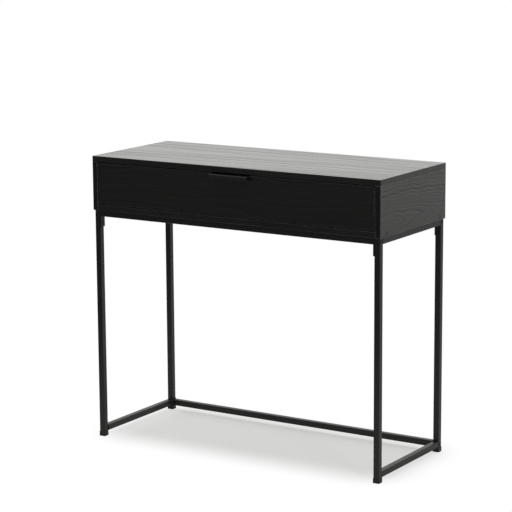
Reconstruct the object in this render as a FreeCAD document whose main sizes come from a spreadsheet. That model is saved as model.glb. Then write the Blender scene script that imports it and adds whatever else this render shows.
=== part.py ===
import FreeCAD, Part
import operator
import os
import Sketcher

# Console table: a shallow box with one wide drawer, standing on a frame of square steel tube.
# The origin is on the floor, under the middle of the table. +X is the right, -Y the front, +Z up.

DIMENSIONS = {
    # The whole table
    "table_width": 850,
    "table_depth": 340,
    "table_height": 750,
    # Box of coated board
    "board": 15,
    "box_height": 142,
    "board_ease": 0.8,
    "back_board": 3,
    "back_inset": 10,
    "groove_depth": 6,
    "groove_play": 0.2,
    "groove_end_play": 0.3,
    # Steel frame
    "tube_side": 16,
    "tube_wall": 1.2,
    "tube_radius": 2,
    "frame_inset": 3,
    "foot_height": 12,
    "foot_wall": 1,
    "foot_base": 3,
    "foot_radius": 2.2,
    "front_plate": 3,
    "front_plate_drop": 28,
    "rear_plate": 1.5,
    "rear_plate_drop": 26,
    "lower_plate_rise": 2.5,
    "plate_bolt_drop": 17.5,
    "frame_screw_x": 250,
    # Drawer
    "drawer_gap": 2.2,
    "drawer_board": 12,
    "drawer_rear_gap": 12,
    "drawer_head_gap": 19,
    "drawer_lift": 8,
    "drawer_bottom": 3,
    "drawer_bottom_lift": 8,
    # Lip pull
    "handle_width": 111,
    "handle_reach": 15,
    "handle_lip": 11,
    "handle_back": 22,
    "handle_sheet": 1.6,
    "handle_bend": 3,
    "handle_sink": 1.8,
    "handle_side_play": 0.5,
    "handle_screw_x": 38,
    "handle_screw_drop": 14,
    # Ball-bearing runners
    "runner_space": 13,
    "runner_end_gap": 48,
    "runner_setback": 2,
    "runner_height": 45,
    "runner_sheet": 1.2,
    "runner_flange_gap": 2.5,
    "runner_lip": 0.8,
    "middle_sheet": 1.2,
    "middle_setoff": 2.4,
    "middle_flange_gap": 2.1,
    "drawer_member_setoff": 4.6,
    "cage_sheet": 0.6,
    "cage_length": 110,
    "cage_play": 0.3,
    "cage_edge": 0.3,
    "outer_ball": 2,
    "outer_ball_off": 5.5,
    "inner_ball": 1.6,
    "inner_ball_gap": 4.4,
    "race_depth": 0.4,
    "race_play": 0.05,
    "ball_pitch": 16,
    "ball_hole_play": 0.1,
    "runner_screw_inset": 35,
    # Machine bolts and nuts
    "bolt_radius": 3,
    "bolt_head": 5.25,
    "bolt_head_height": 2.6,
    "bolt_socket": 2.3,
    "bolt_socket_depth": 1.6,
    "rail_bolt_length": 25,
    "plate_bolt_length": 12,
    "nut_height": 5,
    # Wood screws
    "screw_radius": 1.75,
    "screw_head": 3.4,
    "screw_head_height": 1.7,
    "screw_tip": 2.5,
    "screw_slot": 0.9,
    "screw_slot_depth": 0.9,
    "screw_end_play": 1,
    "short_screw_length": 11,
    "back_screw_length": 32,
    "carcass_screw_radius": 2.5,
    "carcass_screw_head": 4,
    "carcass_screw_length": 48,
    "carcass_screw_inset": 30,
    "cap_radius": 5,
    "cap_height": 1,
    "cap_chamfer": 0.3,
    # Cam fittings and dowels
    "cam_radius": 7.5,
    "drawer_cam_radius": 6,
    "cam_skin": 2.5,
    "cam_offset": 24,
    "cam_channel": 3.6,
    "cam_bolt_thread": 3,
    "cam_bolt_bite": 11,
    "cam_bolt_stem": 2.5,
    "cam_bolt_head": 3.2,
    "cam_bolt_head_height": 2.6,
    "cam_y": 60,
    "dowel_y": 92,
    "dowel_radius": 4,
    "dowel_bite": 11,
    "dowel_tail": 19,
    "dowel_chamfer": 0.8,
    "drawer_dowel_radius": 3,
    "drawer_cam_drop": 23,
    "drawer_dowel_height": 28,
    "hole_play": 0.1,
}

BALLS_IN_ROW = 7
SIDES = {"left": -1, "right": 1}
OPERATORS = {"+": operator.add, "-": operator.sub, "*": operator.mul, "/": operator.truediv}
TURNS = {
    "+Z": FreeCAD.Rotation(),
    "-Z": FreeCAD.Rotation(FreeCAD.Vector(1, 0, 0), 180),
    "+X": FreeCAD.Rotation(FreeCAD.Vector(0, 1, 0), 90),
    "-X": FreeCAD.Rotation(FreeCAD.Vector(0, 1, 0), -90),
    "+Y": FreeCAD.Rotation(FreeCAD.Vector(1, 0, 0), -90),
    "-Y": FreeCAD.Rotation(FreeCAD.Vector(1, 0, 0), 90),
}

doc = FreeCAD.newDocument("console_table")
nodes = []


class Size:
    """A length that carries its present value and its formula over the cells of the sheet."""

    def __init__(self, value, text):
        self.value = value
        self.text = text

    def __add__(self, other):
        return combine(self, "+", other)

    def __radd__(self, other):
        return combine(other, "+", self)

    def __sub__(self, other):
        return combine(self, "-", other)

    def __rsub__(self, other):
        return combine(other, "-", self)

    def __mul__(self, other):
        return combine(self, "*", other)

    def __rmul__(self, other):
        return combine(other, "*", self)

    def __truediv__(self, other):
        return combine(self, "/", other)

    def __neg__(self):
        return combine(-1, "*", self)


def as_size(number):
    return number if isinstance(number, Size) else Size(float(number), "(%g)" % number)


def combine(first, symbol, second):
    first = as_size(first)
    second = as_size(second)
    value = OPERATORS[symbol](first.value, second.value)
    return Size(value, "(%s %s %s)" % (first.text, symbol, second.text))


class Dimensions:
    """The driving dimensions: one named cell of the sheet each."""

    def __init__(self, values):
        sheet = doc.addObject("Spreadsheet::Sheet", "dims")
        for row, (name, value) in enumerate(values.items(), start=1):
            sheet.set("A%d" % row, name)
            sheet.set("B%d" % row, str(value))
            sheet.setAlias("B%d" % row, name)
            setattr(self, name, Size(float(value), "dims." + name))
        doc.recompute()


def bind(item, **sizes):
    for name, size in sizes.items():
        item.setExpression(name, as_size(size).text)


def place(item, at, direction="+Z"):
    """Puts an item's own origin at a point, with its own +Z along a direction."""
    item.Placement = FreeCAD.Placement(FreeCAD.Vector(), TURNS[direction])
    for axis, size in zip("xyz", at):
        item.setExpression("Placement.Base." + axis, as_size(size).text)


def finish(item, label):
    item.Label = label
    nodes.append(item)
    return item


# --- Solids made from a padded outline ---------------------------------------------------------

def draw_outline(sketch, points):
    """A closed outline of straight lines whose corners are bound to their sizes."""
    first = sketch.GeometryCount
    corners = [FreeCAD.Vector(u.value, v.value, 0) for u, v in points]
    count = len(corners)
    for index in range(count):
        sketch.addGeometry(Part.LineSegment(corners[index], corners[(index + 1) % count]), False)
    for index in range(count):
        line = first + index
        after = first + (index + 1) % count
        sketch.addConstraint(Sketcher.Constraint("Coincident", line, 2, after, 1))
    for index, (u, v) in enumerate(points):
        for kind, size in (("DistanceX", u), ("DistanceY", v)):
            number = sketch.addConstraint(Sketcher.Constraint(kind, first + index, 1, size.value))
            sketch.setExpression("Constraints[%d]" % number, size.text)


def rectangle(u, v):
    return [(u[0], v[0]), (u[1], v[0]), (u[1], v[1]), (u[0], v[1])]


def padded(name, along, outlines, span):
    """A body whose outlines lie across one axis and are padded along it over a span."""
    plane, turned = {"X": ("YZ_Plane", False), "Y": ("XZ_Plane", True), "Z": ("XY_Plane", False)}[along]
    body = doc.addObject("PartDesign::Body", name)
    sketch = body.newObject("Sketcher::SketchObject", name + "_outline")
    support = [item for item in body.Origin.OriginFeatures if item.Role == plane][0]
    sketch.AttachmentSupport = (support, [""])
    sketch.MapMode = "FlatFace"
    for points in outlines:
        draw_outline(sketch, [(as_size(u), as_size(v)) for u, v in points])
    pad = body.newObject("PartDesign::Pad", name + "_pad")
    pad.Profile = sketch
    bind(pad, Length=span[1] - span[0])
    start = span[1] if turned else span[0]
    place(body, [start if axis == along else 0 for axis in "XYZ"])
    doc.recompute()
    return body


def on_limits(edge, box, axes):
    """Whether a straight edge lies on the outermost planes of a box across each of the axes."""
    middle = edge.BoundBox.Center
    for axis in axes:
        low = getattr(box, axis + "Min")
        high = getattr(box, axis + "Max")
        place_on_axis = getattr(middle, axis.lower())
        if min(abs(place_on_axis - low), abs(place_on_axis - high)) > 0.01:
            return False
    return True


def edges_along(shape, along, outer):
    """Names of the straight edges that run along an axis, on the outside or on the inside."""
    across = [axis for axis in "XYZ" if axis != along]
    names = []
    for number, edge in enumerate(shape.Edges, start=1):
        length = getattr(edge.BoundBox, along + "Length")
        if abs(length - edge.Length) < 0.001 and on_limits(edge, shape.BoundBox, across) == outer:
            names.append("Edge%d" % number)
    return names


def round_edges(body, names, radius):
    tip = body.Tip
    fillet = body.newObject("PartDesign::Fillet", body.Name + "_round")
    fillet.Base = (tip, names)
    bind(fillet, Radius=radius)
    doc.recompute()
    return body


def board(name, x, y, z):
    """A board with all of its edges eased."""
    body = padded(name, "Z", [rectangle(x, y)], z)
    names = ["Edge%d" % (number + 1) for number in range(len(body.Shape.Edges))]
    return round_edges(body, names, dim.board_ease)


def tube(name, along, x, y, z):
    """A square tube with rounded corners, open at both ends."""
    spans = {"X": x, "Y": y, "Z": z}
    u, v = [spans[axis] for axis in "XYZ" if axis != along]
    wall = dim.tube_wall
    bore = rectangle((u[0] + wall, u[1] - wall), (v[0] + wall, v[1] - wall))
    body = padded(name, along, [rectangle(u, v), bore], spans[along])
    round_edges(body, edges_along(body.Shape, along, True), dim.tube_radius)
    return round_edges(body, edges_along(body.Shape, along, False), dim.tube_radius - wall)


# --- Part primitives -----------------------------------------------------------------------------

def block(name, x, y, z):
    item = doc.addObject("Part::Box", name)
    bind(item, Length=x[1] - x[0], Width=y[1] - y[0], Height=z[1] - z[0])
    place(item, (x[0], y[0], z[0]))
    return item


def cylinder(name, at, direction, radius, height):
    item = doc.addObject("Part::Cylinder", name)
    bind(item, Radius=radius, Height=height)
    place(item, at, direction)
    return item


def cone(name, at, direction, radius_low, radius_high, height):
    item = doc.addObject("Part::Cone", name)
    bind(item, Radius1=radius_low, Radius2=radius_high, Height=height)
    place(item, at, direction)
    return item


def join(name, items):
    item = doc.addObject("Part::MultiFuse", name)
    item.Shapes = items
    return item


def carve(name, base, tools):
    """A base with one or more tools cut out of it."""
    item = doc.addObject("Part::Cut", name)
    item.Base = base
    item.Tool = tools[0] if len(tools) == 1 else join(name + "_tools", tools)
    return item


def copies(label, master, places):
    """One node with a copy of a small part at each place: (point, direction)."""
    links = []
    for number, (at, direction) in enumerate(places, start=1):
        link = doc.addObject("App::Link", "%s_%d" % (label, number))
        link.LinkedObject = master
        place(link, at, direction)
        links.append(link)
    group = doc.addObject("Part::Compound", label)
    group.Links = links
    return finish(group, label)


# --- Small parts, each drawn once at the origin: what enters the hole runs along +Z ----------------

def dome(name, radius, height):
    """A domed disc that stands on the plane z = 0 and rises towards -Z."""
    curve = (radius * radius + height * height) / (2 * height)
    ball = doc.addObject("Part::Sphere", name + "_ball")
    bind(ball, Radius=curve)
    place(ball, (0, 0, curve - height))
    disc = cylinder(name + "_disc", (0, 0, 0), "-Z", radius, height)
    item = doc.addObject("Part::Common", name)
    item.Base = ball
    item.Tool = disc
    return item


def cross_recess(name, top, reach):
    """Two crossed bars, the tool for a cross recess that starts at a height and goes along +Z."""
    half = dim.screw_slot / 2
    bars = []
    for letter, (u, v) in (("a", (reach, half)), ("b", (half, reach))):
        bars.append(block(name + letter, (-u, u), (-v, v), (top - 1, top + dim.screw_slot_depth)))
    return join(name, bars)


def machine_bolt(name, length):
    head = dome(name + "_head", dim.bolt_head, dim.bolt_head_height)
    shank = cylinder(name + "_shank", (0, 0, 0), "+Z", dim.bolt_radius, length)
    socket = doc.addObject("Part::Prism", name + "_socket")
    socket.Polygon = 6
    bind(socket, Circumradius=dim.bolt_socket, Height=dim.bolt_socket_depth + 1)
    place(socket, (0, 0, -dim.bolt_head_height - 1))
    return carve(name, join(name + "_body", [head, shank]), [socket])


def pointed_shank(name, radius, start, length):
    shank = cylinder(name + "_shank", (0, 0, start), "+Z", radius, length - start - dim.screw_tip)
    point = cone(name + "_tip", (0, 0, length - dim.screw_tip), "+Z", radius, radius / 6, dim.screw_tip)
    return [shank, point]


def domed_screw(name, length):
    head = dome(name + "_head", dim.screw_head, dim.screw_head_height)
    body = join(name + "_body", [head] + pointed_shank(name, dim.screw_radius, as_size(0), length))
    return carve(name, body, [cross_recess(name + "_cross", -dim.screw_head_height, dim.screw_head / 2)])


def flat_screw(name, radius, head, length):
    """A countersunk screw whose flat head lies in the plane z = 0."""
    depth = head - radius
    top = cone(name + "_head", (0, 0, 0), "+Z", head, radius, depth)
    body = join(name + "_body", [top] + pointed_shank(name, radius, depth, length))
    return carve(name, body, [cross_recess(name + "_cross", as_size(0), head / 2)])


def flat_screw_hole(name, at, direction, radius, head, length):
    """The tool for a countersunk screw's hole, with its mouth in the board's surface."""
    play = dim.hole_play
    mouth = cone(name + "_mouth", at, direction, head + play, radius + play, head - radius)
    shaft = cylinder(name + "_shaft", at, direction, radius + play, length + play)
    return [mouth, shaft]


def cam(name, radius, depth, middle, channel_along):
    """A cam drum with a cross recess in its face and a channel for the head of its bolt."""
    drum = cylinder(name + "_drum", (0, 0, 0), "+Z", radius, depth)
    half = dim.cam_channel
    reach = radius + 1
    u, v = (reach, half) if channel_along == "x" else (half, reach)
    channel = block(name + "_channel", (-u, u), (-v, v), (middle - half, middle + half))
    recess = cross_recess(name + "_cross", as_size(0), radius / 2)
    return carve(name, drum, [channel, recess])


def cam_bolt(name, offset):
    """A cam bolt: its thread bites into one board, its stem and head reach the cam in the other."""
    thread = cylinder(name + "_thread", (0, 0, 0), "+Z", dim.cam_bolt_thread, dim.cam_bolt_bite)
    half_head = dim.cam_bolt_head_height / 2
    stem = cylinder(name + "_stem", (0, 0, 0), "-Z", dim.cam_bolt_stem, offset)
    head = cylinder(name + "_head", (0, 0, half_head - offset), "-Z", dim.cam_bolt_head, 2 * half_head)
    return join(name, [thread, stem, head])


def dowel(name, radius):
    """A fluted dowel's plain outer shape: its bite along +Z and its tail along -Z."""
    taper = dim.dowel_chamfer
    pieces = []
    for end, direction in (("bite", "+Z"), ("tail", "-Z")):
        length = getattr(dim, "dowel_" + end)
        sign = 1 if direction == "+Z" else -1
        rod = cylinder(name + end, (0, 0, 0), direction, radius, length - taper)
        tip_at = (0, 0, sign * (length - taper))
        tip = cone(name + end + "_tip", tip_at, direction, radius, radius - taper, taper)
        pieces += [rod, tip]
    return join(name, pieces)


def square_nut(name):
    """A square nut as wide as the flat of the wall inside the tube."""
    half = dim.tube_side / 2 - dim.tube_radius
    plate = block(name + "_plate", (-half, half), (-half, half), (as_size(0), dim.nut_height))
    hole = cylinder(name + "_hole", (0, 0, 0), "+Z", dim.bolt_radius + dim.hole_play, dim.nut_height)
    return carve(name, plate, [hole])


def flat_cap(name, radius, height):
    """A flat cover with a chamfered rim, level with the board that it is sunk into."""
    chamfer = dim.cap_chamfer
    disc = cylinder(name + "_disc", (0, 0, 0), "-Z", radius, height - chamfer)
    rim = cone(name + "_rim", (0, 0, chamfer - height), "-Z", radius, radius - chamfer, chamfer)
    return join(name, [disc, rim])


def sphere(name, radius):
    item = doc.addObject("Part::Sphere", name)
    bind(item, Radius=radius)
    return item


def span(sign, near, far):
    """The span from a near to a far distance on one side of the middle plane."""
    return (near, far) if sign > 0 else (-far, -near)


def outward(sign):
    return "+X" if sign > 0 else "-X"


def inward(sign):
    return "-X" if sign > 0 else "+X"


# --- Places that more than one piece shares ------------------------------------------------------

dim = Dimensions(DIMENSIONS)
play = dim.hole_play

half_width = dim.table_width / 2
inner_x = half_width - dim.board
board_mid_x = half_width - dim.board / 2
front = (dim.handle_reach - dim.table_depth) / 2
rear = front + dim.table_depth
box_base = dim.table_height - dim.box_height
box_floor = box_base + dim.board
box_ceiling = dim.table_height - dim.board

back_y = (rear - dim.back_inset - dim.back_board, rear - dim.back_inset)
back_groove_y = (back_y[0] - dim.groove_play, back_y[1] + dim.groove_play)
groove_reach = dim.groove_depth - dim.groove_end_play

frame_x = half_width - dim.frame_inset
leg_inner_x = frame_x - dim.tube_side
leg_x = (leg_inner_x, frame_x)
front_leg_y = (front + dim.frame_inset, front + dim.frame_inset + dim.tube_side)
rear_leg_y = (rear - dim.frame_inset - dim.tube_side, rear - dim.frame_inset)
front_leg_mid_y = front_leg_y[0] + dim.tube_side / 2
rear_leg_mid_y = rear_leg_y[0] + dim.tube_side / 2
top_rail_z = (box_base - dim.tube_side, box_base)
top_rail_mid = box_base - dim.tube_side / 2
lower_rail_z = (dim.foot_height, dim.foot_height + dim.tube_side)
lower_rail_mid = dim.foot_height + dim.tube_side / 2
plate_bolt_z = top_rail_z[0] - dim.plate_bolt_drop
frame_screw_bite = dim.board - dim.groove_depth - dim.screw_end_play
frame_screw_length = dim.tube_side + frame_screw_bite
side_rail_mid_x = frame_x - dim.tube_side / 2
side_rail_mid_y = (front + rear) / 2

drawer_front_x = inner_x - dim.drawer_gap
drawer_front_z = (box_floor + dim.drawer_gap, box_ceiling - dim.drawer_gap)
drawer_front_y = (front, front + dim.board)
drawer_outer_x = inner_x - dim.runner_space
drawer_inner_x = drawer_outer_x - dim.drawer_board
drawer_side_mid_x = drawer_outer_x - dim.drawer_board / 2
drawer_length = back_y[0] - drawer_front_y[1] - dim.drawer_rear_gap
drawer_end_y = drawer_front_y[1] + drawer_length
drawer_side_base = box_floor + dim.drawer_lift
drawer_side_z = (drawer_side_base, box_ceiling - dim.drawer_head_gap)
drawer_bottom_base = drawer_side_base + dim.drawer_bottom_lift
drawer_bottom_z = (drawer_bottom_base, drawer_bottom_base + dim.drawer_bottom)
drawer_groove_z = (drawer_bottom_z[0] - dim.groove_play, drawer_bottom_z[1] + dim.groove_play)
drawer_back_y = (drawer_end_y - dim.drawer_board, drawer_end_y)

handle_top = drawer_front_z[1] - dim.handle_sink
handle_seat = handle_top - dim.handle_sheet

runner_z = (drawer_side_z[0] + drawer_side_z[1]) / 2
runner_start = drawer_front_y[1] + dim.runner_setback
runner_y = (runner_start, drawer_end_y - dim.runner_end_gap)
runner_screw_y = (runner_y[0] + dim.runner_screw_inset, runner_y[1] - dim.runner_screw_inset)
cage_start = (runner_y[0] + runner_y[1] - dim.cage_length) / 2
cage_y = (cage_start, cage_start + dim.cage_length)

cam_y = (front + dim.cam_y, rear - dim.cam_y)
dowel_y = (front + dim.dowel_y, rear - dim.dowel_y)
cam_z = box_ceiling - dim.cam_offset
carcass_screw_y = (front + dim.carcass_screw_inset, rear - dim.carcass_screw_inset)
carcass_screw_z = box_base + dim.board / 2
cam_depth = dim.board - dim.cam_skin
drawer_cam_depth = dim.drawer_board - dim.cam_skin
drawer_cam_z = drawer_side_z[1] - dim.drawer_cam_drop
drawer_dowel_z = drawer_side_base + dim.drawer_dowel_height
drawer_cam_at_y = drawer_front_y[1] + dim.cam_offset
back_screw_heights = (drawer_dowel_z, drawer_cam_z)
back_screw_y = drawer_end_y - dim.drawer_board / 2


# --- Box -----------------------------------------------------------------------------------------

def make_top_panel():
    tools = [block("top_groove", (-inner_x - groove_reach, inner_x + groove_reach), back_groove_y,
                   (box_ceiling, box_ceiling + dim.groove_depth))]
    for side, sign in SIDES.items():
        for number in range(2):
            name = "top_%s_%d" % (side, number)
            x = sign * board_mid_x
            tools.append(cylinder(name + "_bolt_hole", (x, cam_y[number], box_ceiling), "+Z",
                                  dim.cam_bolt_thread + play, dim.cam_bolt_bite + play))
            tools.append(cylinder(name + "_dowel_hole", (x, dowel_y[number], box_ceiling), "+Z",
                                  dim.dowel_radius + play, dim.dowel_bite + play))
    blank = board("top_blank", (-half_width, half_width), (front, rear), (box_ceiling, dim.table_height))
    finish(carve("top_panel", blank, tools), "top_panel")


def make_side_panel(side, sign):
    name = "side_panel_" + side
    tools = [block(name + "_groove", span(sign, inner_x, inner_x + dim.groove_depth), back_groove_y,
                   (box_floor - groove_reach, box_ceiling))]
    for number in range(2):
        part = "%s_%d" % (name, number)
        x = sign * board_mid_x
        tools.append(cylinder(part + "_cam_hole", (sign * inner_x, cam_y[number], cam_z),
                              outward(sign), dim.cam_radius + play, cam_depth + play))
        tools.append(cylinder(part + "_stem_hole", (x, cam_y[number], box_ceiling), "-Z",
                              dim.cam_bolt_head + play, dim.cam_offset))
        tools.append(cylinder(part + "_dowel_hole", (x, dowel_y[number], box_ceiling), "-Z",
                              dim.dowel_radius + play, dim.dowel_tail + play))
        cap_at = (sign * half_width, carcass_screw_y[number], carcass_screw_z)
        tools.append(cylinder(part + "_cap_seat", cap_at, inward(sign), dim.cap_radius + play,
                              dim.cap_height))
        mouth = (sign * (half_width - dim.cap_height), carcass_screw_y[number], carcass_screw_z)
        tools += flat_screw_hole(part + "_screw_hole", mouth, inward(sign), dim.carcass_screw_radius,
                                 dim.carcass_screw_head, dim.board)
        runner_at = (sign * (inner_x - dim.runner_sheet), runner_screw_y[number], runner_z)
        tools += flat_screw_hole(part + "_runner_hole", runner_at, outward(sign), dim.screw_radius,
                                 dim.screw_head, dim.short_screw_length)
    tools.append(frame_screw_hole(name + "_frame_hole", sign * side_rail_mid_x, side_rail_mid_y))
    blank = board(name + "_blank", span(sign, inner_x, half_width), (front, rear),
                  (box_base, box_ceiling))
    finish(carve(name, blank, tools), name)


def make_bottom_panel():
    tools = [block("bottom_groove", (-inner_x, inner_x), back_groove_y,
                   (box_floor - dim.groove_depth, box_floor))]
    depth = dim.carcass_screw_length + dim.cap_height - dim.board + play
    for side, sign in SIDES.items():
        for number in range(2):
            tools.append(cylinder("bottom_%s_%d_screw_hole" % (side, number),
                                  (sign * inner_x, carcass_screw_y[number], carcass_screw_z),
                                  inward(sign), dim.carcass_screw_radius + play, depth))
    for number, (x, y) in enumerate(long_rail_screws()):
        tools.append(frame_screw_hole("bottom_frame_hole_%d" % number, x, y))
    blank = board("bottom_blank", (-inner_x, inner_x), (front, rear), (box_base, box_floor))
    finish(carve("bottom_panel", blank, tools), "bottom_panel")


def make_back_panel():
    reach = inner_x + groove_reach
    z = (box_floor - groove_reach, box_ceiling + groove_reach)
    finish(padded("back_panel", "Z", [rectangle((-reach, reach), back_y)], z), "back_panel")


def make_box_fasteners():
    cams, bolts, dowels, screws, caps = [], [], [], [], []
    for sign in SIDES.values():
        x = sign * board_mid_x
        for number in range(2):
            cams.append(((sign * inner_x, cam_y[number], cam_z), outward(sign)))
            bolts.append(((x, cam_y[number], box_ceiling), "+Z"))
            dowels.append(((x, dowel_y[number], box_ceiling), "+Z"))
            at = (carcass_screw_y[number], carcass_screw_z)
            screws.append(((sign * (half_width - dim.cap_height),) + at, inward(sign)))
            caps.append(((sign * (half_width - dim.cap_height),) + at, inward(sign)))
    copies("carcass_cams", cam("cam", dim.cam_radius, cam_depth, dim.board / 2, "x"), cams)
    copies("carcass_cam_bolts", cam_bolt("cam_bolt", dim.cam_offset), bolts)
    copies("carcass_dowels", dowel("dowel", dim.dowel_radius), dowels)
    screw = flat_screw("carcass_screw", dim.carcass_screw_radius, dim.carcass_screw_head,
                       dim.carcass_screw_length)
    copies("carcass_screws", screw, screws)
    copies("screw_caps", flat_cap("cap", dim.cap_radius, dim.cap_height), caps)


# --- Steel frame ---------------------------------------------------------------------------------

def long_rail_screws():
    """Where screws go up through the front and rear top rails: (x, y)."""
    return [(sign * dim.frame_screw_x, y) for sign in SIDES.values()
            for y in (front_leg_mid_y, rear_leg_mid_y)]


def frame_screw_hole(name, x, y):
    return cylinder(name, (x, y, box_base), "+Z", dim.screw_radius + play, frame_screw_bite + play)


def through_hole(name, at, direction, radius):
    return cylinder(name, at, direction, radius + play, dim.tube_side)


def make_leg(end, side, sign):
    name = "leg_%s_%s" % (end, side)
    y = front_leg_y if end == "front" else rear_leg_y
    mid_y = y[0] + dim.tube_side / 2
    heights = [top_rail_mid] if end == "front" else [top_rail_mid, lower_rail_mid]
    tools = [through_hole("%s_rail_hole_%d" % (name, number), (sign * leg_inner_x, mid_y, height),
                          outward(sign), dim.bolt_radius) for number, height in enumerate(heights)]
    tools.append(cylinder(name + "_plate_hole", (sign * leg_inner_x, mid_y, plate_bolt_z),
                          outward(sign), dim.bolt_radius + play, dim.tube_side / 2))
    blank = tube(name + "_tube", "Z", span(sign, *leg_x), y, (dim.foot_base, box_base))
    finish(carve(name, blank, tools), name)


def make_side_rails(side, sign):
    x = span(sign, *leg_x)
    y = (front_leg_y[1], rear_leg_y[0])
    blank = tube("top_rail_%s_tube" % side, "Y", x, y, top_rail_z)
    at = (sign * side_rail_mid_x, side_rail_mid_y, top_rail_z[0])
    hole = through_hole("top_rail_%s_hole" % side, at, "+Z", dim.screw_radius)
    finish(carve("top_rail_" + side, blank, [hole]), "top_rail_" + side)
    finish(tube("bottom_rail_" + side, "Y", x, y, lower_rail_z), "bottom_rail_" + side)


def make_long_top_rail(end, y, plate):
    name = "top_rail_" + end
    reach = leg_inner_x - plate
    mid_y = y[0] + dim.tube_side / 2
    tools = [through_hole("%s_hole_%s" % (name, side), (sign * dim.frame_screw_x, mid_y, top_rail_z[0]),
                          "+Z", dim.screw_radius) for side, sign in SIDES.items()]
    finish(carve(name, tube(name + "_tube", "X", (-reach, reach), y, top_rail_z), tools), name)


def make_end_plates(name, plate, y, z, bolt_heights):
    """The two plates welded on the ends of a long rail, drilled for their bolts."""
    plates = []
    mid_y = y[0] + dim.tube_side / 2
    for side, sign in SIDES.items():
        part = "%s_%s" % (name, side)
        x = span(sign, leg_inner_x - plate, leg_inner_x)
        holes = [cylinder("%s_hole_%d" % (part, number), (sign * leg_inner_x, mid_y, height),
                          inward(sign), dim.bolt_radius + play, plate)
                 for number, height in enumerate(bolt_heights)]
        plates.append(carve(part, block(part + "_blank", x, y, z), holes))
    group = doc.addObject("Part::Compound", name)
    group.Links = plates
    finish(group, name)


def make_foot(end, side, sign):
    name = "foot_%s_%s" % (end, side)
    wall = dim.foot_wall
    x = span(sign, *leg_x)
    y = front_leg_y if end == "front" else rear_leg_y
    outer = [rectangle((x[0] - wall, x[1] + wall), (y[0] - wall, y[1] + wall))]
    shell = padded(name + "_shell", "Z", outer, (as_size(0), dim.foot_height))
    round_edges(shell, edges_along(shell.Shape, "Z", True), dim.foot_radius)
    socket = block(name + "_socket", x, y, (dim.foot_base, dim.foot_height))
    finish(carve(name, shell, [socket]), name)


def make_frame_fasteners():
    rail_bolts, plate_bolts, nuts = [], [], []
    for sign in SIDES.values():
        rows = [(front_leg_mid_y, top_rail_mid, dim.front_plate),
                (rear_leg_mid_y, top_rail_mid, dim.rear_plate),
                (rear_leg_mid_y, lower_rail_mid, dim.rear_plate)]
        for y, height, plate in rows:
            rail_bolts.append(((sign * frame_x, y, height), inward(sign)))
            nuts.append(((sign * (leg_inner_x - plate), y, height), inward(sign)))
        for y, plate in ((front_leg_mid_y, dim.front_plate), (rear_leg_mid_y, dim.rear_plate)):
            plate_bolts.append(((sign * (leg_inner_x - plate), y, plate_bolt_z), outward(sign)))
            nuts.append(((sign * (leg_inner_x + dim.tube_wall), y, plate_bolt_z), outward(sign)))
    copies("rail_bolts", machine_bolt("rail_bolt", dim.rail_bolt_length), rail_bolts)
    copies("plate_bolts", machine_bolt("plate_bolt", dim.plate_bolt_length), plate_bolts)
    copies("weld_nuts", square_nut("nut"), nuts)
    screws = long_rail_screws() + [(sign * side_rail_mid_x, side_rail_mid_y) for sign in SIDES.values()]
    copies("frame_screws", domed_screw("frame_screw", frame_screw_length),
           [((x, y, top_rail_z[0]), "+Z") for x, y in screws])


# --- Ball-bearing runners ------------------------------------------------------------------------
# Each runner's section is set out from the side panel (off) and from the runner's middle (height).

outer_face = dim.runner_height / 2 - dim.runner_sheet
middle_reach = dim.runner_space - dim.middle_flange_gap
inner_ball_off = dim.runner_space - dim.inner_ball_gap
outer_ball_height = outer_face - dim.outer_ball - dim.race_play + dim.race_depth
middle_top = outer_ball_height - dim.outer_ball - dim.race_play + dim.race_depth
middle_under = middle_top - dim.middle_sheet
inner_ball_height = middle_under - dim.inner_ball - dim.race_play + dim.race_depth
drawer_member_top = inner_ball_height - dim.inner_ball - dim.race_play + dim.race_depth


def section(sign, points):
    """A section that is the same above and below the runner's middle, given from its upper half."""
    upper = [(sign * (inner_x - off), runner_z + height) for off, height in points]
    lower = [(sign * (inner_x - off), runner_z - height) for off, height in reversed(points)]
    return upper + lower


def race(name, sign, off, height, radius):
    """The two grooves that a pair of ball rows rolls in, above and below the middle."""
    x = sign * (inner_x - off)
    return [cylinder("%s_%s" % (name, word), (x, runner_y[0] - 1, runner_z + way * height), "+Y",
                     radius + dim.race_play, runner_y[1] - runner_y[0] + 2)
            for word, way in (("upper", 1), ("lower", -1))]


def make_cabinet_member(side, sign):
    name = "cabinet_runner_" + side
    web = dim.runner_sheet
    reach = dim.runner_space - dim.runner_flange_gap
    half = dim.runner_height / 2
    lip_height = outer_face - dim.runner_lip
    points = [(as_size(0), half), (reach, half), (reach, lip_height), (reach - web, lip_height),
              (reach - web, outer_face), (web, outer_face)]
    tools = race(name + "_race", sign, dim.outer_ball_off, outer_ball_height, dim.outer_ball)
    for number, y in enumerate(runner_screw_y):
        at = (sign * (inner_x - web), y, runner_z)
        tools += flat_screw_hole("%s_hole_%d" % (name, number), at, outward(sign), dim.screw_radius,
                                 dim.screw_head, dim.short_screw_length)
    finish(carve(name, padded(name + "_profile", "Y", [section(sign, points)], runner_y), tools), name)


def make_middle_member(side, sign):
    name = "middle_runner_" + side
    start = dim.middle_setoff
    web = dim.middle_sheet
    points = [(start, middle_top), (middle_reach, middle_top), (middle_reach, middle_under),
              (start + web, middle_under)]
    tools = race(name + "_outer", sign, dim.outer_ball_off, outer_ball_height, dim.outer_ball)
    tools += race(name + "_inner", sign, inner_ball_off, inner_ball_height, dim.inner_ball)
    finish(carve(name, padded(name + "_profile", "Y", [section(sign, points)], runner_y), tools), name)


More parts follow.
